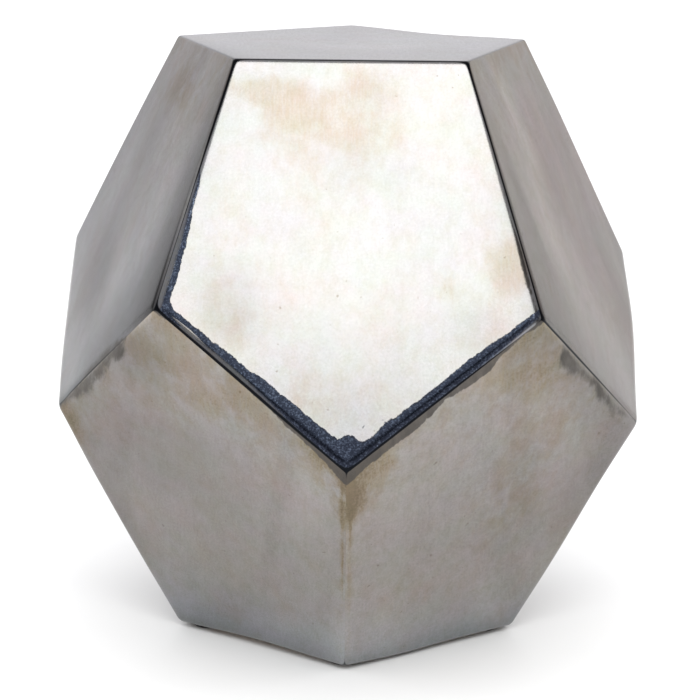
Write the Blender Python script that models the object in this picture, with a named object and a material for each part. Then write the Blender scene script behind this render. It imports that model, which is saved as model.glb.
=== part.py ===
"""A faceted ceramic garden stool: a hollow slip-cast body of twelve five-sided facets, on five foot pads.

The frame is +Z up, with the origin on the floor under the middle of the stool. One upper facet faces -Y.
The top is a level pentagon, which is the seat. Five upper facets lean out below it, five lower facets lean
back in, and the base is a level pentagon with an opening in it. The walls are one casting, with no joins.
"""
import math

import bmesh
import bpy
from mathutils import Matrix, Vector

# Driving dimensions, in metres
STOOL_HEIGHT = 0.430        # floor to seat
BODY_HEIGHT = 0.427         # the casting alone
WAIST_RADIUS = 0.2195       # axis to each of the ten corners around the waist
UPPER_WAIST_HEIGHT = 0.266  # base of the casting to its upper five waist corners
LOWER_WAIST_HEIGHT = 0.168  # base of the casting to its lower five waist corners
WALL = 0.009                # thickness of the fired clay
EDGE_RADIUS = 0.0045        # rounding along every edge of the casting
BASE_LEDGE = 0.040          # width of the base between its edge and the opening
PAD_RADIUS = 0.011
PAD_THICKNESS = 0.0027
PAD_CHAMFER = 0.0006
PAD_INSET = 0.0235          # from a base corner in to a pad's centre
GAP = 0.0003                # clearance between pieces that touch

SIDES = 5
STEP = 2 * math.pi / SIDES
HALF_STEP = STEP / 2
EDGE_SEGMENTS = 3
PAD_SEGMENTS = 32
FACET_TURN = math.radians(63)  # how far the surface turns over an edge between two facets
SHARP = math.radians(35)

BASE_Z = STOOL_HEIGHT - BODY_HEIGHT

# name: colour, roughness, metallic
FINISHES = {
    "pewter_glaze": ((0.46, 0.44, 0.43), 0.30, 0.85),
    "foot_rubber": ((0.035, 0.034, 0.033), 0.70, 0.0),
}


def clear_scene():
    for ob in list(bpy.data.objects):
        bpy.data.objects.remove(ob)


def make_material(name):
    colour, roughness, metallic = FINISHES[name]
    material = bpy.data.materials.new(name)
    material.use_nodes = True
    material.diffuse_color = (*colour, 1)
    shader = material.node_tree.nodes["Principled BSDF"]
    shader.inputs["Base Color"].default_value = (*colour, 1)
    shader.inputs["Roughness"].default_value = roughness
    shader.inputs["Metallic"].default_value = metallic
    return material


def make_object(name, bm, material):
    mesh = bpy.data.meshes.new(name)
    bm.to_mesh(mesh)
    bm.free()
    mesh.materials.append(material)
    mesh.shade_smooth()
    mesh.set_sharp_from_angle(angle=SHARP)
    ob = bpy.data.objects.new(name, mesh)
    bpy.context.scene.collection.objects.link(ob)
    return ob


def around(radius, turn, z):
    """The point at this radius and height, turned from the front (-Y) towards +X."""
    return Vector((radius * math.sin(turn), -radius * math.cos(turn), z))


def corner_ring(radius, first_turn, z):
    return [around(radius, first_turn + STEP * k, z) for k in range(SIDES)]


def end_radius(rise):
    """Radius of the end pentagon that lies this far beyond the nearer waist corners.

    Each facet is flat, so its two end corners lie on the plane through its three waist corners.
    """
    waist_band = UPPER_WAIST_HEIGHT - LOWER_WAIST_HEIGHT
    return WAIST_RADIUS * (1 - (rise / waist_band) * (1 / math.cos(HALF_STEP) - 1))


TOP_RADIUS = end_radius(BODY_HEIGHT - UPPER_WAIST_HEIGHT)
BASE_RADIUS = end_radius(LOWER_WAIST_HEIGHT)


def faceted_skin():
    """The twelve flat facets of the casting's outside, as one closed skin."""
    bm = bmesh.new()
    rings = (
        corner_ring(TOP_RADIUS, HALF_STEP, BODY_HEIGHT),
        corner_ring(WAIST_RADIUS, HALF_STEP, UPPER_WAIST_HEIGHT),
        corner_ring(WAIST_RADIUS, 0, LOWER_WAIST_HEIGHT),
        corner_ring(BASE_RADIUS, 0, 0),
    )
    top, upper, lower, base = ([bm.verts.new(p) for p in ring] for ring in rings)
    bm.faces.new(top)
    bm.faces.new(reversed(base))
    for k in range(SIDES):
        after = (k + 1) % SIDES
        bm.faces.new((top[k - 1], upper[k - 1], lower[k], upper[k], top[k]))
        bm.faces.new((base[k], base[after], lower[after], upper[k], lower[k]))
    bmesh.ops.recalc_face_normals(bm, faces=bm.faces)
    return bm


def cut_base_opening(bm):
    """Opens the base facet with a smaller pentagon, which leaves a ledge all round."""
    base = min(bm.faces, key=lambda face: face.calc_center_median().z)
    bmesh.ops.inset_region(bm, faces=[base], thickness=BASE_LEDGE, use_even_offset=True)
    bmesh.ops.delete(bm, geom=[base], context="FACES")


def make_stool_body():
    """The casting: its skin, thickened inwards, with every edge rounded."""
    bm = faceted_skin()
    cut_base_opening(bm)
    body = make_object("stool_body", bm, make_material("pewter_glaze"))
    body.location.z = BASE_Z

    wall = body.modifiers.new("wall", "SOLIDIFY")
    wall.thickness = WALL
    wall.offset = -1
    wall.use_even_offset = True
    wall.use_quality_normals = True

    rounding = body.modifiers.new("rounding", "BEVEL")
    rounding.width = EDGE_RADIUS * math.tan(FACET_TURN / 2)
    rounding.segments = EDGE_SEGMENTS
    rounding.limit_method = "ANGLE"
    rounding.angle_limit = SHARP
    return body


def make_foot_pads():
    """Five low rubber discs, one under each corner of the base, chamfered where they meet the floor."""
    rubber = make_material("foot_rubber")
    for k in range(SIDES):
        bm = bmesh.new()
        bmesh.ops.create_cone(
            bm,
            cap_ends=True,
            segments=PAD_SEGMENTS,
            radius1=PAD_RADIUS,
            radius2=PAD_RADIUS,
            depth=PAD_THICKNESS,
            matrix=Matrix.Translation((0, 0, PAD_THICKNESS / 2)),
        )
        floor_rim = [e for e in bm.edges if all(v.co.z < PAD_THICKNESS / 2 for v in e.verts)]
        bmesh.ops.bevel(
            bm,
            geom=floor_rim,
            offset=PAD_CHAMFER,
            segments=1,
            affect="EDGES",
            offset_type="OFFSET",
        )
        pad = make_object(f"foot_pad_{k + 1}", bm, rubber)
        pad.location = around(BASE_RADIUS - PAD_INSET, STEP * k, BASE_Z - GAP - PAD_THICKNESS)


clear_scene()
make_stool_body()
make_foot_pads()
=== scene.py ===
"""A faceted ceramic garden stool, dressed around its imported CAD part.

The body is rebuilt as one fine mesh on the CAD facets, with rounded edges and the small irregularities of a
slip casting. Its glaze is a worn pewter wash over a dark, glossy one, which shows along the edges.
"""

import itertools
import math

import bmesh
import bpy
import numpy as np
from mathutils import Matrix, Vector, noise


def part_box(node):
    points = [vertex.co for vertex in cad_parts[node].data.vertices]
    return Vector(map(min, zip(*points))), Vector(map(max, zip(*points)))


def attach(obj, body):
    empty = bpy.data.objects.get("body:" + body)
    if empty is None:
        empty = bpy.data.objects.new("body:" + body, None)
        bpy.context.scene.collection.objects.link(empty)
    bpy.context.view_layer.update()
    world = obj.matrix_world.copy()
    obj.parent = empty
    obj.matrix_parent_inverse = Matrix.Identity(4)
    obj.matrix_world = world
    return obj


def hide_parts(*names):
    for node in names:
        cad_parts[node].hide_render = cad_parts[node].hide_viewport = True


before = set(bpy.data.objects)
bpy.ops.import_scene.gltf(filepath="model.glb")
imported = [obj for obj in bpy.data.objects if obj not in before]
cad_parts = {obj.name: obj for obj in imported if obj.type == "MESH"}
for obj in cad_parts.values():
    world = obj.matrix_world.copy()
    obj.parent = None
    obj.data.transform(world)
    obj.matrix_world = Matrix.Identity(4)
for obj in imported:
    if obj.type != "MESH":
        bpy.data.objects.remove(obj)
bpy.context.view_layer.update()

# ---- Form, in metres
SMALLEST_FACET = 1e-3  # square metres: the CAD triangles above this lie on facets, not on roundings
EDGE_BLENDS = (0.0042, 0.0045, 0.0050, 0.0020)  # softness of the outer edges, from the base up to the top
INSIDE_BLENDS = (0.0040, 0.0040, 0.0040, 0.0040)  # the same for the hollow
GRID = 20  # quads from a facet's middle to its edge
EDGE_CROWDING = 2.4  # how strongly the grid's rows crowd towards the edges
BASE_ROWS = 12
BASE_LEDGE = 0.040  # width of the base between its edge and its opening
LIP_RADIUS = 0.0025
LIP_STEPS = 5
OPENING_BLEND = 0.012  # softness of the base opening's corners
SWELL = 0.022  # how far facets and edges bow out, as a share of their fall inside the corners
SLUMP = 0.0185  # slope of the waist, which has sunk towards +X in the kiln
LEVEL_BAND = 0.12  # share of the height, by the top and the base, where the swelling lifts less
RIPPLE = 0.00022  # height of the hand-finished unevenness
RIPPLE_SIZE = 0.075  # and its breadth
# azimuth from the front to +X in degrees, height, reach, then how far out (or in) the wall is, in metres
BUMPS = (
    (95, 0.215, 0.050, 0.0028),
    (75, 0.125, 0.045, -0.0015),
    (80, 0.360, 0.050, 0.0009),
    (144, 0.430, 0.050, -0.0016),
    (-80, 0.355, 0.050, 0.0014),
    (-72, 0.266, 0.030, -0.0010),
    (-72, 0.168, 0.030, -0.0013),
    (-40, 0.003, 0.050, -0.0018),
    (20, 0.003, 0.035, 0.0013),
    (-150, 0.250, 0.060, 0.0015),
    (170, 0.120, 0.050, -0.0012),
)
LEVEL_FACET = 0.9  # a facet whose normal is this upright is the top or the base
THIN_CORNER = 0.2  # three facets whose normals span less than this share no corner
CORNER_SLACK = 0.001  # how far outside the other planes a corner may lie
SEARCH_REACH = 1.2  # how far out the surface is looked for, as a share of the point's own distance
SEARCH_STEPS = 40
WELD = 1e-5  # points closer than this are one
TINY = 1e-6  # keeps divisions off nought
GLAZE_STOP = 0.006  # width of the glazed border round the unglazed foot

body_low, body_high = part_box("stool_body")
BASE_Z, TOP_Z = body_low.z, body_high.z
MIDDLE = np.array((0, 0, (BASE_Z + TOP_Z) / 2))
SIDES = 5


def facet_name(normal):
    """top, base, or the row of five that a facet is in and its place in it, counted from the front to +X."""
    if abs(normal[2]) > LEVEL_FACET:
        return "top" if normal[2] > 0 else "base"
    turn = math.degrees(math.atan2(normal[0], -normal[1])) % 360
    if normal[2] > 0:
        return f"upper_{round(turn / 72) % SIDES}"
    return f"lower_{round((turn - 36) / 72) % SIDES}"


def cad_planes():
    """The planes of the CAD body's outer facets, and of its inner ones, by facet name."""
    found = ({}, {})
    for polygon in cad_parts["stool_body"].data.polygons:
        normal = np.array(polygon.normal)
        offset = normal @ (np.array(polygon.center) - MIDDLE)
        if polygon.area < SMALLEST_FACET or abs(offset) < WELD:
            continue
        inside = int(offset < 0)
        outward = -normal if inside else normal
        rows = found[inside].setdefault(facet_name(outward), [])
        rows.append((polygon.area, *outward, abs(offset)))
    planes = []
    for side in found:
        means = {}
        for name, rows in side.items():
            rows = np.array(rows)
            mean = np.average(rows[:, 1:], axis=0, weights=rows[:, 0])
            means[name] = (mean[:3] / np.linalg.norm(mean[:3]), mean[3])
        planes.append(means)
    return planes


def facet_corners(planes):
    """Each facet's corners, counter-clockwise from outside, and the neighbour over the edge after each."""
    names = sorted(planes)
    normals = np.array([planes[n][0] for n in names])
    offsets = np.array([planes[n][1] for n in names])
    corners = {n: [] for n in names}
    for trio in itertools.combinations(range(len(names)), 3):
        rows = list(trio)
        if abs(np.linalg.det(normals[rows])) < THIN_CORNER:
            continue
        point = np.linalg.solve(normals[rows], offsets[rows])
        if (normals @ point <= offsets + CORNER_SLACK).all():
            for i in trio:
                corners[names[i]].append((point, {names[j] for j in trio}))
    outlines = {}
    for name, found in corners.items():
        normal = planes[name][0]
        middle = np.mean([p for p, _ in found], axis=0)
        across = found[0][0] - middle
        across /= np.linalg.norm(across)
        up = np.cross(normal, across)
        found.sort(key=lambda c: math.atan2((c[0] - middle) @ up, (c[0] - middle) @ across))
        count = len(found)
        over = [
            (found[k][1] & found[(k + 1) % count][1] - {name}).pop() for k in range(count)
        ]
        outlines[name] = ([p for p, _ in found], over)
    return outlines


def crowd(steps):
    """Fractions from 0 to 1 that lie closer together towards 1."""
    return 1 - (1 - np.arange(steps + 1) / steps) ** EDGE_CROWDING


def softness(points, blends):
    """The softness of the edges at these points' height, carried between the four levels of corners."""
    levels = (BASE_Z, cad_corner_level("lower"), cad_corner_level("upper"), TOP_Z)
    return np.interp(points[:, 2] + MIDDLE[2], levels, blends)


def cad_corner_level(row):
    """The height of the corners half-way up this row of facets' sides."""
    heights = sorted(corner[2] for corner in cad_outlines[0][row + "_0"][0])
    return MIDDLE[2] + (heights[2] if row == "upper" else heights[3])


def settle(points, planes, blend):
    """Moves each point along its line from the origin onto the planes' solid, with softened edges."""
    rows = np.array([(*normal, offset) for normal, offset in planes])
    low, high = np.zeros(len(points)), np.full(len(points), SEARCH_REACH)
    for _ in range(SEARCH_STEPS):
        mid = (low + high) / 2
        beyond = (points * mid[:, None]) @ rows[:, :3].T - rows[:, 3] + blend[:, None]
        inside = np.linalg.norm(np.maximum(beyond, 0), axis=1) < blend
        low, high = np.where(inside, mid, low), np.where(inside, high, mid)
    return points * low[:, None]


class Skin:
    """Quads gathered facet by facet. Each keeps its facet's name and its corners' flat places."""

    def __init__(self):
        self.flat = []
        self.final = []
        self.facet = []

    def add(self, name, flat, final, inward):
        """Adds a lattice of quads. Both arrays are rows x columns x 3."""
        for store, points in ((self.flat, flat), (self.final, final)):
            quads = np.stack(
                (points[:-1, :-1], points[1:, :-1], points[1:, 1:], points[:-1, 1:]), axis=2
            ).reshape(-1, 4, 3)
            store.append(quads[:, ::-1] if inward else quads)
        self.facet += [name] * len(self.flat[-1])


def pentagon_ring(corners):
    """Points round a facet's outline, crowded towards its corners, from half-way along its last edge."""
    fractions = crowd(GRID)
    ring = []
    for k, corner in enumerate(corners):
        before = (corners[k - 1] + corner) / 2
        after = (corner + corners[(k + 1) % len(corners)]) / 2
        ring += [before + (corner - before) * t for t in fractions[:-1]]
        ring += [corner + (after - corner) * (1 - t) for t in fractions[::-1][:-1]]
    return np.array(ring)


def add_facet(skin, name, corners, planes, blends, inward):
    """Five kites, each between the facet's middle, two edge middles and the corner between them."""
    s, t = (a[..., None] for a in np.meshgrid(crowd(GRID), crowd(GRID), indexing="ij"))
    middle = np.mean(corners, axis=0)
    for k, corner in enumerate(corners):
        before = (corners[k - 1] + corner) / 2
        after = (corner + corners[(k + 1) % len(corners)]) / 2
        flat = (1 - s) * (1 - t) * middle + s * (1 - t) * before + s * t * corner + (1 - s) * t * after
        points = flat.reshape(-1, 3)
        final = settle(points, planes, softness(points, blends)).reshape(flat.shape)
        skin.add(name, flat, final, inward)


def opening_ring(ring):
    """The points of the base opening's outline that lie on the same lines from the axis as the ring's."""
    base = np.array(cad_outlines[0]["base"][0])
    sides = []
    for k in range(SIDES):
        middle = (base[k - 1] + base[k])[:2] / 2
        reach = np.linalg.norm(middle)
        sides.append((np.array((*middle / reach, 0)), reach - BASE_LEDGE))
    flat = ring.copy()
    flat[:, 2] = 0
    return settle(flat, sides, np.full(len(flat), OPENING_BLEND))


def add_base(skin, outlines, planes, blends, inward):
    """The base, or the floor inside it: a ledge from its outline in to the rounding of the opening's lip."""
    ring = pentagon_ring(outlines["base"][0])
    hole = opening_ring(ring)
    lip = hole * (1 + LIP_RADIUS / np.linalg.norm(hole, axis=1))[:, None]
    lip[:, 2] = ring[:, 2]
    share = (1 - crowd(BASE_ROWS)[::-1])[:, None, None]
    flat = lip + (ring - lip) * (1 - share)
    flat = np.concatenate((flat, flat[:, :1]), axis=1)
    points = flat.reshape(-1, 3)
    final = settle(points, planes, softness(points, blends)).reshape(flat.shape)
    skin.add("base" if not inward else "floor", flat, final, not inward)
    return hole


def add_lip(skin, hole, low, high):
    """The wall of the base opening, rounded into the base below and the floor above."""
    outward = hole / np.linalg.norm(hole, axis=1)[:, None]
    rows = []
    for z, rise in ((low, 1), (high, -1)):
        arc = []
        for step in range(LIP_STEPS + 1):
            turn = math.radians(90 * step / LIP_STEPS)
            row = hole + outward * LIP_RADIUS * (1 - math.sin(turn))
            row[:, 2] = z + rise * LIP_RADIUS * (1 - math.cos(turn))
            arc.append(row)
        rows += arc if rise > 0 else arc[::-1]
    lattice = np.array(rows)
    lattice = np.concatenate((lattice, lattice[:, :1]), axis=1)
    skin.add("lip", lattice, lattice, True)


def hand_made(points):
    """Swells the facets and edges a little, slopes the waist, ripples the surface and adds the bumps."""
    reach = np.linalg.norm(cad_outlines[0]["upper_0"][0][0])
    fall = np.maximum(1 - (np.linalg.norm(points, axis=1) / reach) ** 2, 0)
    height = (points[:, 2] + MIDDLE[2] - BASE_Z) / (TOP_Z - BASE_Z)
    level = np.clip(np.minimum(height, 1 - height) / LEVEL_BAND, 0, 1)
    level = level * level * (3 - 2 * level)
    ripples = np.array([noise.noise(Vector(p) / RIPPLE_SIZE) for p in points])
    outward = points / np.linalg.norm(points, axis=1)[:, None]
    shift = points * (SWELL * fall)[:, None] + outward * (RIPPLE * ripples)[:, None]
    shift[:, 2] *= level
    shift[:, 2] -= SLUMP * points[:, 0] * np.sin(np.pi * np.clip(height, 0, 1))
    return points + shift + outward * bumps(points)[:, None]


def bumps(points):
    """How far the bumps push the wall out at these points."""
    out = np.zeros(len(points))
    spread = np.hypot(points[:, 0], points[:, 1])
    for azimuth, height, reach, amount in BUMPS:
        turn = math.radians(azimuth)
        aside = 1 - (points[:, 0] * math.sin(turn) - points[:, 1] * math.cos(turn)) / np.maximum(spread, TINY)
        away = 2 * aside * spread**2 + (points[:, 2] + MIDDLE[2] - height) ** 2
        out += amount * np.exp(-away / reach**2)
    return out


cad_facets = cad_planes()
cad_outlines = [facet_corners(planes) for planes in cad_facets]


# ---- Wear, and painted light and shade
# Along each edge of a facet the values run from its start to its end, counter-clockwise as seen from outside.
# Depths are in millimetres in from the edge. A negative one keeps the wear off that stretch.

MM = 1000  # millimetres in a metre
NO_WEAR = -50.0  # a depth so far outside that nothing shows
CORNER_EASE = 2.6  # how far the lines along the edges cut their corners
BARE_EASE = 1.0  # how far the bare edges run together where they meet
START_BORDER = 0.6  # width over which a tone begins, and its strength before that
BEFORE_START = 0.4
FADE_POWER = 1.5  # how quickly a tone dies away from its start
STRIP_SLOPE = 1.5  # how sharply blooms and smudges begin
PATCH_FILL = 1.4  # how flat the patches are in their middles

# facet, neighbour over the edge, how deep the wash is worn or wiped away to the dark glaze
BARE_EDGES = (
    ("upper_0", "lower_4", (9.0, 9.0, 10.4, 12.0, 13.0, 13.6, 12.5)),
    ("upper_0", "lower_0", (11.5, 10.2, 9.8, 9.6, 9.8, 10.0, 9.4, 8.0, 7.0)),
    ("upper_0", "upper_4", (-4.0, -4.0, -2.0, 2.2, 5.2, 7.4, 9.0, 9.5)),
    ("upper_2", "lower_1", (7.0, 5.0, 6.5, 4.0, -2.0, -4.0)),
    ("upper_2", "lower_2", (-4.0, 2.0, 5.0, 8.0, 9.0, 9.5)),
    ("upper_3", "lower_3", (9.0, 9.0, 6.0, 7.0, 5.0, 3.0)),
    ("upper_3", "upper_2", (-4.0, -4.0, -1.0, 3.0, 4.0, 5.0)),
)
# facet, across and up from its middle, radius across and up, all in millimetres: more of the dark glaze
BARE_SPOTS = (
    ("upper_0", 1, -140, 10, 11),
    ("upper_0", 11, -124, 2.6, 1.2),
    ("upper_0", 18, -117, 3.4, 1.3),
    ("upper_0", 25, -123, 1.6, 2.8),
    ("upper_2", -6, -146, 9, 7),
)
# facet, neighbour, how deep from the edge the wash still holds within a bare edge
HELD_RIMS = (
    ("upper_0", "upper_4", (-4.0, -2.0, 0.0, 1.0, 2.2, 3.6, 4.2, 4.4)),
    ("upper_0", "lower_4", (-2.0, 2.8, 4.6, 4.8, 3.4, 1.4, -0.6, -2.0)),
    ("upper_0", "lower_0", (-4.0, -0.4, 0.2, 0.4, 0.6, 1.0, 3.0)),
)
# facet, neighbour, half the width of a slip of full wash left standing in the bare edge, 4.6 mm in
LEFT_SLIPS = (
    ("upper_0", "lower_4", (-2.0, 0.7, 1.4, -0.3, -2.0, -2.0, -2.0, -2.0, -2.0, -2.0, -2.0, -2.0)),
)
SLIP_DEPTH = 4.6
# facet, neighbour, how deep a dark line reaches in from the edge: partly pooled dark glaze, partly a painted
# dark reflection of the rounded edge
DARK_LINES = (
    ("upper_0", "lower_4", (2.6, 2.8, 2.2)),
    ("upper_0", "lower_0", (2.2, 2.4, 1.9, 0.2)),
    ("upper_0", "upper_1", (-1.8, 0.0, 0.6, 1.0, 1.3, 1.6, 1.8)),
    ("upper_0", "upper_4", (2.0, 2.2, 1.8, 1.2, 1.0, 1.0, 0.8)),
    ("upper_0", "top", (0.3, 0.2, 0.3)),
    ("top", "upper_0", (5.0, 5.6, 5.2)),
    ("upper_1", "upper_0", (1.0, 1.4, 1.8, 2.2)),
    ("upper_1", "lower_0", (2.2, 2.2, 1.8, 1.2, 0.3)),
    ("upper_4", "upper_0", (0.0, 0.0, 0.0, 0.8, 1.2, 1.2)),
    ("upper_4", "lower_4", (0.8, 1.3, 1.3, 1.0, 0.2, 0.0)),
    ("lower_0", "upper_0", (-1.8, 0.0, 0.0, 0.0, 0.0, -1.6)),
    ("lower_0", "upper_1", (0.0, 0.2, 0.4, 0.4, -1.8)),
    ("lower_4", "upper_0", (-1.6, 0.6, 0.8, 0.4, 0.0, -1.0)),
    ("upper_2", "lower_2", (0.5, 2.2)),
)
# facet, neighbour, where it starts and how deep it reaches: a thin grey bloom over the wash; the upper_1 row
# is a painted reflection
GREY_EDGES = (
    ("lower_0", "upper_0", -9, (2.6, 1.0, 1.5, 7.5, 6.8, 3.0, 6.4, 8.2, 6.8, 6.6, 10)),
    ("lower_4", "upper_0", -9, (9.5, 4, 3, 2, 0.5, -1, -4, -4, -4, 0, 3)),
    ("upper_0", "upper_1", 1.6, (4.4, 4.2, 3.2, 1.8, 0, -4, -4, -4)),
    ("lower_2", "upper_2", -9, (8, 5, 4, -4, -4, 6, 3)),
)
# facet, neighbour, where they start and how deep they reach: ragged smudges where the wash has worn thin
SMUDGED_EDGES = (
    ("lower_0", "upper_1", 2.0, (-9, 3, 8, 10, 8.5, 4.5, 9.5, 11.5, 13, -5, -9, -9)),
    ("upper_4", "lower_4", 0.0, (-9, -5, -1, 3, 5, 4, -4, -9, -9)),
    ("lower_4", "upper_4", -1.0, (-9, -9, -9, -1, 9, 4, 10, 7, 11, 8, 4, 2)),
    ("lower_3", "upper_3", 0, (4, 7, 6, -9, -9)),
    ("lower_1", "upper_2", 0, (6, 4, -9, -9, 5)),
)
# facet, neighbour, the depths it starts at and fades out over, strengths: painted shade towards the edge
# a negative strength is a painted highlight; both stand in for reflections of the room and the floor
PAINTED_SHADE_AND_LIGHT_EDGES = (
    ("upper_0", "upper_1", 0, 34, (0.22, 0.12, 0.05, 0.0)),
    ("upper_0", "upper_4", 0, 34, (0.0, 0.05, 0.12, 0.15)),
    ("upper_4", "upper_0", 2.6, 60, (0.90, 0.82, 0.64, 0.40, 0.20)),
    ("upper_4", "upper_0", 0, 5, (0.2, -0.3, -0.5, -0.4, 0.3, 0.5)),
    ("upper_4", "lower_4", 0, 76, (0.62, 0.60, 0.62, 0.62)),
    ("upper_4", "upper_3", 0, 60, (0.22, 0.28)),
    ("upper_4", "lower_4", 0, 5, (0, 0, 0, 0, -0.6, -0.8)),
    ("upper_1", "upper_0", 0, 7, (0.25, 0.35, 0.35)),
    ("upper_1", "lower_0", 0, 80, (0.52, 0.40)),
    ("upper_1", "lower_1", 0, 60, (0.28, 0.30)),
    ("top", "upper_0", 8, 12, (-0.16, -0.06, -0.14)),
    ("top", "upper_0", 0, 40, (0.16, 0.18, 0.16)),
    ("top", "upper_4", 0, 26, (0.15, 0.55)),
    ("top", "upper_1", 0, 14, (0.30, 0.10)),
    ("top", "upper_2", 0, 22, (0.25, 0.05)),
    ("lower_4", "lower_3", 0, 230, (0.28, 0.28)),
    ("lower_4", "upper_0", 0, 60, (0.0, 0.06, 0.10)),
    ("lower_4", "upper_4", 0, 5, (-0.4, -0.4, 0, 0, 0, 0, 0)),
    ("lower_4", "base", 0, 110, (-0.24, -0.42)),
    ("lower_4", "base", 0, 28, (0.30, 0.30)),
    ("lower_0", "lower_1", 0, 150, (0.24, 0.30)),
    ("lower_0", "upper_1", 0, 60, (0.06, 0.12, 0.30, 0.34)),
    ("lower_0", "upper_1", 0, 4, (0, 0, 0, 0, 0, -0.3, -0.5)),
    ("lower_0", "base", 0, 110, (-0.28, -0.30)),
    ("lower_0", "base", 0, 26, (0.32, 0.28)),
)
# facet, neighbour, the depths it starts at and fades out over, strengths: ochre stains near the edge
STAINED_EDGES = (
    ("lower_0", "lower_4", 2.4, 6, (1.6, 1.5, 1.4, 1.3, 1.1, 0.7, 0.4, 0.2)),
    ("lower_4", "lower_0", 2.2, 5, (0.2, 0.3, 0.6, 1.1, 1.3, 1.3, 1.3, 1.4)),
    ("lower_0", "upper_0", 0, 26, (0.0, 0.0, 0.0, 0.0, 0.5, 1.4)),
    ("lower_4", "upper_0", 0, 20, (1.3, 0.4, 0.0, 0.0, 0.0, 0.0)),
    ("lower_0", "upper_0", 0, 75, (0.6, 0.8, 0.8, 0.6, 0.6, 0.5, 0.5)),
    ("lower_4", "upper_0", 0, 75, (0.4, 0.5, 0.6, 0.7, 0.8, 0.7, 0.5)),
    ("lower_0", "upper_1", 0, 55, (0.1, 0.4, 0.5)),
    ("lower_4", "upper_4", 0, 60, (0.4, 0.6, 0.7)),
    ("upper_4", "top", 0, 100, (0.6, 0.5)),
    ("upper_1", "top", 0, 60, (0.8, 0.5)),
    ("lower_1", "upper_1", 0, 60, (0.8, 0.5)),
    ("lower_2", "upper_2", 0, 60, (0.7, 0.9)),
    ("lower_3", "upper_3", 0, 60, (0.5, 0.8)),
)
# facet, neighbour, the depths it starts at and fades out over, strengths: warmer, or cooler, towards the edge
WARMED_EDGES = (
    ("lower_0", "base", 0, 70, (-0.6, -0.7)),
    ("lower_4", "base", 0, 70, (-0.8, -0.7)),
    ("upper_4", "top", 0, 130, (0.30, 0.30)),
    ("upper_4", "lower_4", 0, 130, (-0.3, -0.2)),
    ("top", "upper_0", 0, 20, (0.4, 0.4)),
)
# facet, across and up from its middle, radius across and up, all in millimetres, the layer, then the amount:
# wide patches of painted shade, stain or rose. A negative painted shade is a painted highlight.
PATCHES = (
    ("upper_1", -18, 78, 40, 90, "shade", -0.40),
    ("upper_1", -40, 10, 40, 75, "shade", -0.22),
    ("upper_1", 20, 0, 22, 140, "shade", 0.15),
    ("upper_1", 64, 30, 30, 140, "shade", 0.06),
    ("upper_1", 90, -50, 90, 90, "shade", 0.11),
    ("upper_1", 30, 0, 110, 190, "rose", 0.65),
    ("upper_1", 10, 60, 40, 60, "rose", 0.5),
    ("upper_1", 90, 20, 50, 90, "rose", 0.5),
    ("upper_4", 55, 10, 44, 110, "shade", -0.27),
    ("upper_4", 112, 112, 40, 40, "shade", -0.20),
    ("upper_4", -2, 62, 26, 50, "shade", -0.10),
    ("upper_4", -36, -60, 96, 90, "shade", 0.24),
    ("upper_4", -52, 60, 44, 80, "shade", 0.14),
    ("upper_4", -10, 92, 80, 34, "stain", 0.8),
    ("upper_4", -20, 100, 70, 50, "rose", 0.5),
    ("upper_4", -40, -40, 60, 70, "rose", 0.3),
    ("top", 0, -58, 130, 60, "shade", 0.10),
    ("top", 5, 55, 90, 60, "shade", -0.08),
    ("lower_0", 10, 20, 150, 130, "shade", 0.05),
    ("lower_0", 100, 0, 50, 70, "shade", 0.14),
    ("lower_0", 0, 106, 56, 34, "stain", 0.4),
    ("lower_0", 30, 116, 56, 34, "stain", 0.3),
    ("lower_0", 35, 50, 80, 90, "stain", 0.5),
    ("lower_0", 22, -10, 60, 60, "stain", 0.4),
    ("lower_0", -108, 35, 30, 45, "stain", 0.6),
    ("lower_0", -30, -75, 50, 30, "stain", 0.2),
    ("lower_0", 70, 10, 50, 70, "rose", 0.3),
    ("lower_4", -22, 35, 120, 90, "shade", 0.22),
    ("lower_4", 20, 82, 110, 44, "stain", 0.6),
    ("lower_4", -34, 116, 76, 52, "shade", 0.25),
    ("lower_4", -100, -55, 44, 54, "shade", 0.14),
    ("lower_4", -10, 116, 50, 30, "stain", 0.3),
    ("lower_4", 112, 50, 40, 50, "stain", 0.5),
    ("lower_4", -122, 40, 26, 45, "stain", 0.8),
    ("lower_4", -60, 50, 70, 60, "rose", 0.3),
    ("lower_4", 60, 40, 50, 60, "rose", 0.3),
    ("upper_0", -80, -46, 48, 60, "shade", 0.15),
    ("upper_0", 88, -58, 44, 38, "shade", 0.13),
    ("upper_0", 10, 50, 60, 34, "shade", 0.05),
    ("upper_0", 0, -95, 130, 70, "shade", 0.08),
    ("lower_0", -116, 24, 18, 34, "stain", 0.8),
    ("lower_0", -96, 54, 14, 14, "stain", 0.5),
    ("lower_0", -114, 26, 18, 28, "shade", 0.08),
    ("lower_4", 114, 20, 16, 30, "stain", 0.6),
)
# facet, across and up from its middle, radius across and up in millimetres, strength: peach blotches
BLOTCHES = (
    ("upper_0", -62, 106, 34, 15, 1.0),
    ("upper_0", -40, 94, 36, 26, 0.7),
    ("upper_0", 13, 106, 34, 20, 0.7),
    ("upper_0", -6, 72, 60, 40, 0.6),
    ("upper_0", -40, 40, 24, 36, 0.25),
    ("upper_0", 106, -14, 18, 26, 1.1),
    ("upper_0", -80, -56, 38, 26, 0.5),
    ("upper_0", -3, -102, 60, 34, 0.5),
    ("upper_0", 65, -30, 15, 22, 0.55),
    ("upper_0", -92, -10, 14, 40, 0.35),
    ("upper_0", 84, -66, 40, 12, 0.45),
    ("upper_2", 40, 90, 50, 26, 0.7),
    ("upper_2", -60, 20, 30, 40, 0.5),
    ("upper_3", -20, 110, 60, 22, 0.8),
    ("upper_3", 70, -40, 34, 30, 0.5),
)

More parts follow.
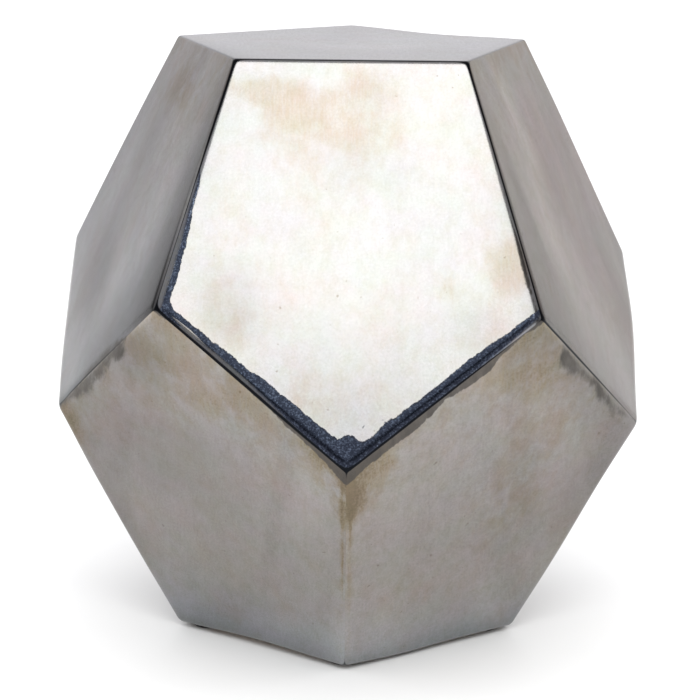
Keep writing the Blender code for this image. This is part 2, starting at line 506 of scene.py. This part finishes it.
# how warm the wash looks on each facet, from 0 to 1
WARMTH = {
    "top": 0.26, "base": 0.44,
    "upper_0": 0.28, "upper_1": 0.60, "upper_2": 0.44, "upper_3": 0.34, "upper_4": 0.34,
    "lower_0": 0.58, "lower_1": 0.50, "lower_2": 0.57, "lower_3": 0.44, "lower_4": 0.55,
}

# how far the brush marks lean on each facet, across for each step up. 0 where not listed.
LEAN = {"lower_0": -0.35, "lower_4": 0.42}

# painted shade: how much darker the wash is painted on the downward-facing lower facets
PAINTED_SHADE_BY_FACET = {"lower_0": 0.12, "lower_1": 0.10, "lower_2": 0.10, "lower_3": 0.10, "lower_4": 0.09}

# how strongly the wash is swept up and down each facet. 1 where not listed.
SWEPT = {"upper_0": 0.2, "top": 0.36, "lower_0": 0.6, "lower_4": 0.6}


def facet_axes(name):
    """Unit vectors across a facet to the right and up it, as seen from outside, and its middle."""
    normal = cad_facets[0][name][0]
    upward = np.array((0, 1, 0)) if name in ("top", "base") else np.array((0, 0, 1))
    right = np.cross(upward, normal)
    right /= np.linalg.norm(right)
    return right, np.cross(normal, right), np.mean(cad_outlines[0][name][0], axis=0)


def edge_distances(name, points):
    """Each point's distance from each edge of a facet, how far along it the point is, and the neighbours."""
    corners, over = cad_outlines[0][name]
    normal = cad_facets[0][name][0]
    gaps, shares = [], []
    for k in range(len(corners)):
        start, end = corners[k], corners[(k + 1) % len(corners)]
        along = end - start
        length = np.linalg.norm(along)
        along = along / length
        inwards = np.cross(normal, along)
        gaps.append((points - start) @ inwards)
        shares.append(np.clip((points - start) @ along / length, 0, 1))
    return np.array(gaps), np.array(shares), over


def along_edges(table, name, over, gaps, shares, empty):
    """For each row of the table on this facet: its value along the edge, and the points' depth from it."""
    found = []
    for row in table:
        if row[0] == name:
            k = over.index(row[1])
            values = row[-1]
            value = np.interp(shares[k], np.linspace(0, 1, len(values)), values)
            found.append((value, gaps[k] * MM, row))
    return found or [(np.full(gaps.shape[1], empty), gaps[0] * MM, (name, "", 0, 1))]


def in_spots(table, name, points):
    """How far inside each spot on this facet the points are, as a share of the spot's radius."""
    right, up, middle = facet_axes(name)
    across, rise = (points - middle) @ right * MM, (points - middle) @ up * MM
    rows = [row for row in table if row[0] == name]
    return [(1 - np.hypot((across - row[1]) / row[3], (rise - row[2]) / row[4]), row) for row in rows]


def fading(depth, start, reach):
    """1 at the start of an edge's tone, dying away over its reach, and weak in the strip before the start."""
    before = np.clip((depth - start) / START_BORDER + 1, BEFORE_START, 1) if start else 1
    return before * np.clip(1 - (depth - start) / reach, 0, 1) ** FADE_POWER


def edge_wear(name, points, edges, gaps):
    """The layers that say how deep the bare edges, held rims, blooms and smudges reach past each point; one
    bloom is a painted reflection.
    """
    wear = {"edge": -CORNER_EASE * np.logaddexp.reduce(-gaps * MM / CORNER_EASE, axis=0)}
    bare = [value - depth for value, depth, _ in along_edges(BARE_EDGES, *edges, NO_WEAR)]
    bare += [inside * row[3] for inside, row in in_spots(BARE_SPOTS, name, points)]
    wear["bare"] = BARE_EASE * np.logaddexp.reduce(np.array(bare) / BARE_EASE, axis=0)
    wear["held"] = np.maximum.reduce([v - d for v, d, _ in along_edges(HELD_RIMS, *edges, NO_WEAR)])
    for layer, table in (("grey", GREY_EDGES), ("smudge", SMUDGED_EDGES)):
        rows = along_edges(table, *edges, NO_WEAR)
        strips = [np.minimum(v - d, (d - row[2]) * STRIP_SLOPE) for v, d, row in rows]
        wear[layer] = np.maximum.reduce(strips)
    return wear


def tone_wear_and_painted_shade(name, points, edges):
    """The layers that paint shade and highlights onto the wash, and stain and tint it, from its edges and
    from its patches.
    """
    wear = {}
    spots = in_spots(PATCHES, name, points)
    tables = {"shade": PAINTED_SHADE_AND_LIGHT_EDGES, "stain": STAINED_EDGES, "warm": WARMED_EDGES, "rose": ()}
    for layer, table in tables.items():
        parts = [v * fading(d, row[2], row[3]) for v, d, row in along_edges(table, *edges, 0)]
        mine = [(inside, row[6]) for inside, row in spots if row[5] == layer]
        parts += [amount * np.clip(inside * PATCH_FILL, 0, 1) ** 2 for inside, amount in mine]
        wear[layer] = np.sum(parts, axis=0)
        # the painted shade and highlights, with each facet's own painted shade
        if layer == "shade":
            wear[layer] = 1 - np.prod([1 - part for part in parts], axis=0) * (1 - PAINTED_SHADE_BY_FACET.get(name, 0))
    wear["warm"] += WARMTH[name]
    blots = [np.clip(inside, 0, 1) * row[5] for inside, row in in_spots(BLOTCHES, name, points)]
    wear["blotch"] = np.clip(np.sum(blots, axis=0), 0, 1) + np.zeros(len(points))
    return wear


def wear_and_painted_shade_of(name, points):
    """The wear and the painted shade at points on one facet. Depths are in millimetres, and positive inside
    what they describe.
    """
    gaps, shares, over = edge_distances(name, points)
    edges = (name, over, gaps, shares)
    wear = {**edge_wear(name, points, edges, gaps), **tone_wear_and_painted_shade(name, points, edges)}
    pull = np.exp((gaps.min(axis=0) - gaps) * MM / CORNER_EASE)
    pull /= pull.sum(axis=0)
    for layer, table, empty in (("line_to", DARK_LINES, 0.0), ("slip", LEFT_SLIPS, -5.0)):
        wear[layer] = np.full(len(points), empty)
        for row in table:
            if row[0] == name:
                k = over.index(row[1])
                values = np.interp(shares[k], np.linspace(0, 1, len(row[2])), row[2])
                wear[layer] += pull[k] * (values - empty)
    return wear


# ---- Body mesh
def body_skin():
    """The quads of the outside, the inside and the lip of the base opening between them."""
    skin = Skin()
    holes = []
    for side, blends in ((0, EDGE_BLENDS), (1, INSIDE_BLENDS)):
        planes = list(cad_facets[side].values())
        for name in sorted(cad_outlines[side]):
            if name != "base":
                corners = cad_outlines[side][name][0]
                add_facet(skin, "inside" if side else name, corners, planes, blends, side)
        holes.append(add_base(skin, cad_outlines[side], planes, blends, side))
    add_lip(skin, holes[0], BASE_Z - MIDDLE[2], cad_outlines[1]["base"][0][0][2])
    return np.concatenate(skin.flat), np.concatenate(skin.final), np.array(skin.facet)


def add_layers(mesh, flat, facet):
    """Gives each face corner its place on its facet and the facet's wear and painted shade there."""
    count = len(facet) * 4
    place, brushed = np.zeros((count, 2)), np.zeros((count, 2))
    layers = {"facet": np.zeros(count)}
    for number, name in enumerate(sorted(cad_facets[0])):
        here = np.repeat(facet == name, 4)
        points = flat.reshape(-1, 3)[here]
        right, up, middle = facet_axes(name)
        place[here] = np.stack(((points - middle) @ right, (points - middle) @ up), axis=1)
        brushed[here] = place[here] - np.outer(place[here][:, 1], (LEAN.get(name, 0), 0))
        layers["facet"][here] = number
        for layer, values in wear_and_painted_shade_of(name, points).items():
            layers.setdefault(layer, np.zeros(count))[here] = values
    layers["swept"] = np.repeat([SWEPT.get(name, 1.0) for name in facet], 4)
    mesh.uv_layers.new(name="facet_place").uv.foreach_set("vector", place.ravel())
    mesh.uv_layers.new(name="brushed_place").uv.foreach_set("vector", brushed.ravel())
    for name, values in layers.items():
        mesh.attributes.new(name, "FLOAT", "CORNER").data.foreach_set("value", values)


def on_foot(flat, facet):
    """Which quads lie on the unglazed foot: on the base, clear of its glazed border."""
    reach = [edge_distances("base", flat[:, k])[0].min(axis=0) for k in range(4)]
    return (facet == "base") & (np.min(reach, axis=0) > GLAZE_STOP)


def placed(name, data):
    """A new object in the scene."""
    made = bpy.data.objects.new(name, data)
    bpy.context.scene.collection.objects.link(made)
    return made


def make_body(glaze, clay):
    """The body as one welded mesh, with its wear and painted shade in layers and its foot, inside and lip
    left unglazed.
    """
    flat, final, facet = body_skin()
    mesh = bpy.data.meshes.new("glazed_body")
    mesh.from_pydata(final.reshape(-1, 3).tolist(), [], np.arange(len(facet) * 4).reshape(-1, 4).tolist())
    add_layers(mesh, flat, facet)
    mesh.materials.append(glaze)
    mesh.materials.append(clay)
    raw = np.isin(facet, ("inside", "floor", "lip"))
    mesh.polygons.foreach_set("material_index", (raw | on_foot(flat, facet)).astype(np.int32))

    welded = bmesh.new()
    welded.from_mesh(mesh)
    bmesh.ops.remove_doubles(welded, verts=welded.verts, dist=WELD)
    welded.to_mesh(mesh)
    welded.free()
    points = np.zeros(len(mesh.vertices) * 3)
    mesh.vertices.foreach_get("co", points)
    mesh.vertices.foreach_set("co", (hand_made(points.reshape(-1, 3)) + MIDDLE).ravel())
    mesh.shade_smooth()
    mesh.update()
    body = placed("glazed_body", mesh)
    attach(body, "root")
    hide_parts("stool_body")


# ---- Foot pads
PAD_SEGMENTS = 64
PAD_RIM = 0.0006  # rounding of the pad's lower rim
GRIP_RINGS = 3
GRIP_DEPTH = 0.0005
# along one grip ring: share of the pitch, and share of the depth that the rubber is cut away
GRIP_SHAPE = ((0.0, 1.0), (0.16, 0.2), (0.3, 0.0), (0.6, 0.0), (0.74, 0.2), (0.9, 1.0))
RIM_STEPS = 6
PAD_CHAMFER = 0.0002
PAD_WELD = 1e-6


def pad_profile(radius, height):
    """Radius and height up the pad's outline: grip rings underneath, rounded rim, straight side, flat top."""
    profile = [(0, GRIP_DEPTH)]
    pitch = (radius - 2 * PAD_RIM) / (GRIP_RINGS + 0.5)
    for ring in range(GRIP_RINGS):
        inner = pitch * (ring + 0.5)
        for share, rise in GRIP_SHAPE:
            profile.append((inner + pitch * share, GRIP_DEPTH * rise))
    last = radius - PAD_RIM
    profile += [(last - 0.0010, GRIP_DEPTH), (last - 0.0006, GRIP_DEPTH * 0.2), (last - 0.0003, 0)]
    for step in range(RIM_STEPS + 1):
        turn = math.radians(90 * step / RIM_STEPS)
        profile.append((last + PAD_RIM * math.sin(turn), PAD_RIM * (1 - math.cos(turn))))
    profile += [(radius, height - PAD_CHAMFER), (radius - PAD_CHAMFER, height), (0, height)]
    return profile


def turned(name, profile, middle):
    """A closed mesh turned about a vertical line through the middle point, which the profile ends on."""
    bm = bmesh.new()
    verts = [bm.verts.new((r + middle.x, middle.y, z + middle.z)) for r, z in profile]
    edges = [bm.edges.new(pair) for pair in zip(verts, verts[1:])]
    spin = {"cent": middle, "axis": (0, 0, 1), "angle": math.tau, "steps": PAD_SEGMENTS}
    bmesh.ops.spin(bm, geom=verts + edges, **spin)
    bmesh.ops.remove_doubles(bm, verts=bm.verts, dist=PAD_WELD)
    bmesh.ops.recalc_face_normals(bm, faces=bm.faces)
    mesh = bpy.data.meshes.new(name)
    bm.to_mesh(mesh)
    bm.free()
    mesh.shade_smooth()
    return mesh


def make_pads(rubber):
    """Each foot pad, turned to fill its CAD pad's box."""
    for number in range(1, SIDES + 1):
        low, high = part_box(f"foot_pad_{number}")
        middle = Vector(((low.x + high.x) / 2, (low.y + high.y) / 2, low.z))
        mesh = turned(f"pad_{number}", pad_profile((high.x - low.x) / 2, high.z - low.z), middle)
        mesh.materials.append(rubber)
        pad = placed(f"pad_{number}", mesh)
        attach(pad, "root")
        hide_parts(f"foot_pad_{number}")


# ---- Materials
class Tree:
    """A new material's nodes. Inputs are given by name, as a value or as the socket that feeds them."""

    def __init__(self, name):
        self.material = bpy.data.materials.new(name)
        self.material.use_nodes = True
        self.nodes = self.material.node_tree.nodes
        self.links = self.material.node_tree.links
        self.shader = self.nodes["Principled BSDF"]

    def feed(self, node, inputs):
        for key, value in inputs.items():
            if isinstance(value, bpy.types.NodeSocket):
                self.links.new(value, node.inputs[key])
            else:
                node.inputs[key].default_value = value
        return node

    def node(self, kind, inputs=None, **settings):
        node = self.nodes.new(kind)
        for key, value in settings.items():
            setattr(node, key, value)
        return self.feed(node, inputs or {})

    def math(self, operation, a, b=0.0, clamp=False):
        return self.node("ShaderNodeMath", {0: a, 1: b}, operation=operation, use_clamp=clamp).outputs[0]

    def plus(self, a, b, clamp=False):
        return self.math("ADD", a, b, clamp)

    def times(self, a, b):
        return self.math("MULTIPLY", a, b)

    def minus(self, a, b):
        return self.math("SUBTRACT", a, b)

    def spread(self, value, low, high, to_low=0.0, to_high=1.0, smooth=False):
        """The value carried from one range to another and held inside it."""
        kind = "SMOOTHSTEP" if smooth else "LINEAR"
        inputs = {"Value": value, "From Min": low, "From Max": high, "To Min": to_low, "To Max": to_high}
        return self.node("ShaderNodeMapRange", inputs, interpolation_type=kind).outputs[0]

    def mix(self, share, a, b, blend="MIX"):
        """Number or colour a, and b by this share. The numbers are the node's sockets for each kind."""
        if isinstance(b, float):
            return self.node("ShaderNodeMix", {0: share, 2: a, 3: b}).outputs[0]
        node = self.node("ShaderNodeMix", data_type="RGBA", blend_type=blend)
        return self.feed(node, {0: share, 6: a, 7: b}).outputs[2]

    def noise(self, vector, scale, detail=2.0, roughness=0.5, distortion=0.0):
        inputs = {"Vector": vector, "Scale": scale, "Detail": detail, "Roughness": roughness}
        return self.node("ShaderNodeTexNoise", {**inputs, "Distortion": distortion}).outputs[0]

    def stretch(self, vector, scale):
        inputs = {0: vector, 1: scale}
        return self.node("ShaderNodeVectorMath", inputs, operation="MULTIPLY").outputs[0]

    def attribute(self, name):
        """The value of one of the mesh's layers."""
        return self.node("ShaderNodeAttribute", attribute_name=name).outputs["Fac"]


def tone(red, green, blue):
    """A colour as Blender's nodes take it. Above 1 it brightens what it multiplies."""
    return (red, green, blue, 1)


def own_place(t, layer):
    """Where a point is on its facet, by this UV layer, with each facet at its own depth in the noises."""
    split = t.node("ShaderNodeSeparateXYZ", {0: t.node("ShaderNodeUVMap", uv_map=layer).outputs[0]})
    own = t.times(t.attribute("facet"), FACET_STEP)
    return t.node("ShaderNodeCombineXYZ", {0: split.outputs[0], 1: split.outputs[1], 2: own}).outputs[0]


def worn_wash_with_painted_shade(t, spot, place, brushed):
    """The wash's colour: cloudy, swept up and down, finely speckled, stained, and with painted shade and
    highlights at edges and in patches.
    """
    cloud = t.noise(spot, 11, 4, 0.55)
    mottle = t.noise(t.stretch(place, (1, 0.6, 1)), 38, 5, 0.65)
    freckle = t.noise(t.stretch(place, (1, 0.7, 1)), 130, 4, 0.65)
    tinge = t.noise(t.stretch(place, (0.7, 1, 1)), 44, 5, 0.6)
    sweep = t.noise(t.stretch(brushed, (1, 0.24, 1)), 17, 3, 0.5, 0.7)
    streak = t.noise(t.stretch(brushed, (1, 0.14, 1)), 600, 3, 0.6)
    speckle = t.noise(place, 620, 4, 0.65)

    wash = tinted(t, cloud, mottle, freckle, tinge)
    fine = t.spread(streak, 0.35, 0.62, 0.62, 1.0)
    wash = stained(t, wash, place, mottle, freckle, speckle, fine)
    value = t.spread(streak, 0.25, 0.75, -0.06, 0.06)
    grain = t.spread(speckle, 0.25, 0.75, -0.09, 0.09)
    grain = t.plus(grain, t.spread(freckle, 0.3, 0.7, 0.035, -0.035))
    grain = t.times(grain, t.spread(t.attribute("swept"), 0.2, 0.6, 0.8, 1.5))
    value = t.plus(value, t.plus(grain, 1.0))
    swept = t.times(t.spread(sweep, 0.25, 0.75, -0.24, 0.24), t.attribute("swept"))
    value = t.plus(value, swept)
    value = t.plus(value, t.spread(cloud, 0.3, 0.7, -0.03, 0.03))
    # painted shade and painted highlights from the shade layer
    value = t.times(value, t.minus(1.0, t.attribute("shade")))
    grey = t.node("ShaderNodeCombineColor", {0: value, 1: value, 2: value}).outputs[0]
    return t.mix(1.0, wash, grey, "MULTIPLY"), streak


def tinted(t, cloud, mottle, freckle, tinge):
    """The clean wash: cool or warm, a little rose or moss, and cream where it is freckled."""
    warmth = t.plus(t.attribute("warm"), t.spread(cloud, 0.35, 0.65, -0.07, 0.07))
    warmth = t.plus(warmth, t.spread(mottle, 0.3, 0.7, -0.10, 0.10), clamp=True)
    wash = t.mix(warmth, WASH_COOL, WASH_WARM)
    wash = t.mix(1.0, wash, t.mix(t.spread(tinge, 0.38, 0.62), TINGE_ROSE, TINGE_MOSS), "MULTIPLY")
    rosy = t.plus(t.attribute("rose"), t.spread(mottle, 0.3, 0.7, -0.25, 0.25), clamp=True)
    wash = t.mix(rosy, wash, WASH_ROSE, "MULTIPLY")
    return t.mix(t.spread(freckle, 0.46, 0.66, 0, 0.8), wash, CREAM, "MULTIPLY")


def stained(t, wash, place, mottle, freckle, speckle, fine):
    """The wash with its ochre stains, their brown hearts, the peach blotches and small brown pits."""
    stain = t.plus(mottle, t.times(freckle, 0.5))
    stain = t.plus(stain, t.times(t.attribute("stain"), 0.22))
    stain = t.spread(stain, 0.70, 1.0, smooth=True)
    stain = t.times(stain, t.times(t.attribute("stain"), fine))
    wash = t.mix(t.math("MINIMUM", stain, 1.0), wash, STAIN_OCHRE, "MULTIPLY")
    grimy = t.minus(stain, t.spread(speckle, 0.35, 0.65, 0.5, 1.0))
    grimy = t.spread(grimy, 0.05, 0.75, 0, 0.7)
    wash = t.mix(grimy, wash, STAIN_BROWN, "MULTIPLY")
    blotch = t.plus(t.attribute("blotch"), t.spread(mottle, 0.3, 0.7, -0.3, 0.3))
    blotch = t.times(t.spread(blotch, 0.05, 0.75, smooth=True), fine)
    wash = t.mix(blotch, wash, STAIN_PEACH, "MULTIPLY")
    pitted = t.spread(t.noise(place, 210, 2, 0.5), 0.74, 0.78, 0, 0.7)
    return t.mix(pitted, wash, STAIN_BROWN, "MULTIPLY")


def pewter_glaze():
    """A semi-gloss pewter wash over glossy blue-black glaze, which shows along some edges."""
    t = Tree("pewter_glaze")
    spot = t.node("ShaderNodeTexCoord").outputs["Object"]
    place, brushed = own_place(t, "facet_place"), own_place(t, "brushed_place")
    wash, streak = worn_wash_with_painted_shade(t, spot, place, brushed)

    fleck = t.noise(place, 850, 4, 0.7)
    dark = t.mix(t.spread(fleck, 0.50, 0.75), DARK_GLAZE, DARK_FLECK)
    fringe = t.noise(t.stretch(place, (1, 0.4, 1)), 330, 4, 0.7)
    ragged = t.spread(fringe, 0.25, 0.75, -RAGGED, RAGGED)
    wave = t.spread(t.noise(place, 60, 2, 0.5), 0.25, 0.75, -RAGGED, RAGGED)
    ragged = t.plus(ragged, wave)

    colour = bloomed_with_painted_reflection(t, wash, brushed, ragged)
    bare = t.spread(t.plus(t.attribute("bare"), ragged), -0.15, 0.25)
    colour = bared(t, wash, colour, bare, dark, fleck, ragged, wave)
    roughness = t.mix(bare, t.spread(streak, 0.2, 0.8, 0.20, 0.27), 0.15)
    relief = t.minus(t.times(streak, 0.35), bare)
    bump = t.node("ShaderNodeBump", {"Height": relief, "Strength": 0.12, "Distance": 0.0004}).outputs[0]
    t.feed(t.shader, {"Base Color": colour, "Metallic": 1.0, "Roughness": roughness, "Normal": bump})
    return t.material


def bloomed_with_painted_reflection(t, wash, brushed, ragged):
    """The wash with the grey blooms, one a painted reflection, and smudges over it, both with drips down the
    facet.
    """
    drip = t.noise(t.stretch(brushed, (1, 0.35, 1)), 110, 5, 0.65)
    # blooms, and by the front facet's right edge a painted reflection of the grey room
    bloom_and_painted_reflection = t.plus(t.attribute("grey"), t.plus(ragged, t.spread(drip, 0.3, 0.7, -1.0, 1.0)))
    bloom_and_painted_reflection = t.times(t.spread(bloom_and_painted_reflection, -0.3, 0.6), t.spread(drip, 0.35, 0.6, 0.85, 1.0))
    colour = t.mix(bloom_and_painted_reflection, wash, GREY_BLOOM_AND_PAINTED_REFLECTION)
    smudge = t.plus(t.attribute("smudge"), t.plus(ragged, t.spread(drip, 0.3, 0.7, -3.2, 3.2)))
    smudge = t.times(t.spread(smudge, -2.2, 2.6), t.spread(drip, 0.35, 0.65, 0.7, 1.0))
    return t.mix(smudge, colour, SMUDGED)


def bared(t, wash, colour, bare, dark, fleck, ragged, wave):
    """The colour with the dark glaze along bare edges, and its held rims, slips and dark lines. The rims
    carry painted shade, the rounding a painted reflection, and the lines are partly painted.
    """
    edge = t.plus(t.attribute("edge"), t.times(wave, 0.15))
    held = t.spread(t.plus(t.attribute("held"), t.times(ragged, 0.5)), -1.0, 0.8)
    held = t.times(held, t.spread(fleck, 0.40, 0.60, 0.95, 0.6))
    # painted shade: the held rim is darkened where it reaches the flat, standing in for the rounding's grey
    # reflection
    rim_painted_shade = t.mix(t.spread(edge, 4.6, 5.6), tone(1, 1, 1), HELD_RIM_PAINTED_SHADE)
    rim = t.mix(1.0, colour, rim_painted_shade, "MULTIPLY")
    # painted reflection: the dark glaze is lightened on the rounded edge, as if it mirrored the grey room
    painted_rounding_reflection = t.mix(t.spread(edge, 3.4, 5.0), ROUNDING_PAINTED_REFLECTION, tone(1, 1, 1))
    dark = t.mix(1.0, dark, painted_rounding_reflection, "MULTIPLY")
    rim = t.mix(held, dark, rim)
    apart = t.math("ABSOLUTE", t.minus(edge, SLIP_DEPTH))
    slip = t.spread(t.minus(t.attribute("slip"), apart), -0.1, 0.3)
    rim = t.mix(slip, rim, wash)
    colour = t.mix(bare, colour, rim)
    # dark lines, partly a painted dark reflection along the rounded edges
    lined = t.spread(t.minus(t.attribute("line_to"), edge), -0.1, 0.8)
    return t.mix(lined, colour, DARK_LINE)


def raw_clay():
    """Unglazed fired clay, buff and slightly sandy, as left inside and on the foot."""
    t = Tree("raw_clay")
    spot = t.node("ShaderNodeTexCoord").outputs["Object"]
    cloud = t.noise(spot, 22, 5, 0.6)
    sand = t.noise(spot, 900, 3, 0.6)
    colour = t.mix(t.spread(cloud, 0.3, 0.7), tone(0.62, 0.50, 0.38), tone(0.50, 0.38, 0.28))
    colour = t.mix(t.spread(sand, 0.62, 0.72, 0, 0.5), colour, tone(0.28, 0.20, 0.14))
    bump = t.node("ShaderNodeBump", {"Height": sand, "Strength": 0.35, "Distance": 0.0004})
    t.feed(t.shader, {"Base Color": colour, "Roughness": 0.9, "Normal": bump.outputs[0]})
    return t.material


def foot_rubber():
    """Soft black rubber, slightly dusty."""
    t = Tree("foot_rubber")
    spot = t.node("ShaderNodeTexCoord").outputs["Object"]
    dust = t.noise(spot, 700, 4, 0.6)
    colour = t.mix(t.spread(dust, 0.45, 0.75, 0, 0.6), tone(0.022, 0.022, 0.023), tone(0.075, 0.072, 0.068))
    bump = t.node("ShaderNodeBump", {"Height": dust, "Strength": 0.2, "Distance": 0.0002}).outputs[0]
    t.feed(t.shader, {"Base Color": colour, "Roughness": 0.75, "Normal": bump})
    return t.material


WASH_COOL = tone(0.314, 0.322, 0.346)
WASH_WARM = tone(0.366, 0.322, 0.288)
CREAM = tone(0.985, 0.974, 0.922)
WASH_ROSE = tone(1.000, 0.900, 0.935)
TINGE_ROSE = tone(1.014, 0.989, 0.992)
TINGE_MOSS = tone(0.984, 1.010, 0.962)
STAIN_BROWN = tone(0.60, 0.55, 0.48)
# painted reflection on the dark glaze of the rounded edges
ROUNDING_PAINTED_REFLECTION = tone(4.5, 4.3, 4.0)
STAIN_OCHRE = tone(0.84, 0.755, 0.59)
STAIN_PEACH = tone(0.86, 0.78, 0.67)
# grey of the blooms, also used for a painted reflection of the grey room
GREY_BLOOM_AND_PAINTED_REFLECTION = tone(0.082, 0.075, 0.069)
SMUDGED = tone(0.074, 0.068, 0.062)
DARK_GLAZE = tone(0.0125, 0.0150, 0.0235)
DARK_FLECK = tone(0.074, 0.092, 0.132)
# painted shade on the held rims past the rounding
HELD_RIM_PAINTED_SHADE = tone(0.15, 0.18, 0.215)
# the dark lines: pooled glaze, and partly a painted dark reflection of the rounded edges
DARK_LINE = tone(0.008, 0.009, 0.011)
RAGGED = 0.9  # millimetres that the borders of wear wander
FACET_STEP = 0.37  # depth in the noises from one facet to the next


# ---- Setting
CAMERA_LENS = 124.7  # millimetres, on a 36 mm sensor
CAMERA_DISTANCE = 1.797
CAMERA_ELEVATION = 13.25  # degrees above the horizon
CAMERA_AZIMUTH = 0.04
CAMERA_ROLL = 0.64
CAMERA_TARGET = Vector((0.0013, 0, 0.2031))


def towards(azimuth, elevation):
    """The direction at this azimuth from the front (-Y) towards +X and at this elevation, in degrees."""
    turn, rise = math.radians(azimuth), math.radians(elevation)
    return Vector((math.sin(turn) * math.cos(rise), -math.cos(turn) * math.cos(rise), math.sin(rise)))


def aim(ob, target, position, roll=0.0):
    """Puts a camera or lamp at this position, facing the target."""
    turn = (target - position).to_track_quat("-Z", "Y").to_matrix().to_4x4()
    ob.matrix_world = Matrix.Translation(position) @ turn @ Matrix.Rotation(math.radians(roll), 4, "Z")


def make_camera():
    """The photograph's camera, with the roll of one held by hand."""
    data = bpy.data.cameras.new("camera")
    data.lens = CAMERA_LENS
    camera = placed("camera", data)
    position = CAMERA_TARGET + towards(CAMERA_AZIMUTH, CAMERA_ELEVATION) * CAMERA_DISTANCE
    aim(camera, CAMERA_TARGET, position, CAMERA_ROLL)
    bpy.context.scene.camera = camera


def make_light(name, azimuth, elevation, distance, width, height, power, colour):
    """A rectangular softbox facing the body. Angles are in degrees, lengths in metres and power in watts."""
    data = bpy.data.lights.new(name, "AREA")
    data.color = colour
    data.shape = "RECTANGLE"
    data.size, data.size_y = width, height
    data.energy = power
    light = placed(name, data)
    middle = Vector(MIDDLE)
    aim(light, middle, middle + towards(azimuth, elevation) * distance)
    light.visible_camera = False


def make_sun(name, strength, spread):
    """An even, very soft light from overhead that leaves no reflection of its own."""
    data = bpy.data.lights.new(name, "SUN")
    data.energy = strength
    data.angle = math.radians(spread)
    sun = placed(name, data)
    sun.visible_glossy = False


def world_ramp(tree, value, stops):
    """The colour at this value between the stops, each its place and its colour."""
    made = tree.nodes.new("ShaderNodeValToRGB")
    tree.links.new(value, made.inputs[0])
    made.color_ramp.interpolation = "EASE"
    while len(made.color_ramp.elements) < len(stops):
        made.color_ramp.elements.new(0.5)
    for element, (place, level) in zip(made.color_ramp.elements, stops):
        element.position = place
        element.color = (*level, 1)
    return made.outputs[0]


def world_half(tree, value):
    """A value from -1 to 1 as one from 0 to 1."""
    made = tree.nodes.new("ShaderNodeMath")
    tree.links.new(value, made.inputs[0])
    made.operation = "MULTIPLY_ADD"
    made.inputs[1].default_value = 0.5
    made.inputs[2].default_value = 0.5
    return made.outputs[0]


def world_mix(tree, share, a, b):
    """Colour a, or b by this share. b may be a plain colour."""
    made = tree.nodes.new("ShaderNodeMix")
    made.data_type = "RGBA"
    tree.links.new(share, made.inputs[0])
    tree.links.new(a, made.inputs[6])
    if isinstance(b, tuple):
        made.inputs[7].default_value = b
    else:
        tree.links.new(b, made.inputs[7])
    return made.outputs[2]


def make_world():
    """A white sweep behind, a grey wall at each side and a dark room in front. The camera sees only white."""
    world = bpy.data.worlds.new("studio")
    world.use_nodes = True
    bpy.context.scene.world = world
    tree = world.node_tree
    direction = tree.nodes.new("ShaderNodeSeparateXYZ")
    tree.links.new(tree.nodes.new("ShaderNodeTexCoord").outputs["Generated"], direction.inputs[0])
    depth = world_half(tree, direction.outputs[1])
    left, right = world_ramp(tree, depth, ROOM_LEFT), world_ramp(tree, depth, ROOM_RIGHT)
    side = world_ramp(tree, world_half(tree, direction.outputs[0]), ((0.45, (0, 0, 0)), (0.55, (1, 1, 1))))
    around = world_mix(tree, side, left, right)
    up = world_ramp(tree, direction.outputs[2], ((0.45, (0, 0, 0)), (0.80, (1, 1, 1))))
    seen = world_mix(tree, up, around, CEILING)
    path = tree.nodes.new("ShaderNodeLightPath")
    shown = world_mix(tree, path.outputs["Is Camera Ray"], seen, tone(1, 1, 1))
    tree.links.new(shown, tree.nodes["Background"].inputs["Color"])


def make_floor():
    """A plain white table."""
    bm = bmesh.new()
    bmesh.ops.create_circle(bm, cap_ends=True, segments=96, radius=FLOOR_RADIUS)
    mesh = bpy.data.meshes.new("floor")
    bm.to_mesh(mesh)
    bm.free()
    t = Tree("white_table")
    t.feed(t.shader, {"Base Color": FLOOR_WHITE, "Roughness": 0.9, "Specular IOR Level": 0.1})
    mesh.materials.append(t.material)
    floor = placed("floor", mesh)


# brightness round the room as reflected, by place from straight in front (0) to straight behind (1)
ROOM_LEFT = (
    (0.03, (0.42, 0.43, 0.45)), (0.12, (0.55, 0.56, 0.58)), (0.50, (0.65, 0.66, 0.68)),
    (0.72, (0.58, 0.58, 0.60)), (0.88, (0.71, 0.71, 0.73)),
    (0.95, (0.72, 0.72, 0.75)), (1.0, (1.04, 1.03, 1.07)),
)
ROOM_RIGHT = (
    (0.03, (0.42, 0.43, 0.45)), (0.12, (0.44, 0.44, 0.45)), (0.50, (0.45, 0.45, 0.46)),
    (0.72, (0.56, 0.55, 0.55)), (0.88, (0.77, 0.75, 0.74)),
    (0.95, (0.70, 0.69, 0.69)), (1.0, (1.04, 1.03, 1.07)),
)
CEILING = tone(0.60, 0.60, 0.62)
FLOOR_WHITE = tone(0.86, 0.86, 0.86)
FLOOR_RADIUS = 14.0

bpy.context.scene.view_settings.view_transform = "Standard"
make_camera()
make_world()
make_floor()
make_light(
    "softbox", azimuth=4, elevation=40, distance=2.2, width=1.5, height=1.25, power=16.5,
    colour=(0.995, 1.0, 0.958),
)
make_sun("ceiling_fill", strength=2.75, spread=130)
make_body(pewter_glaze(), raw_clay())
make_pads(foot_rubber())
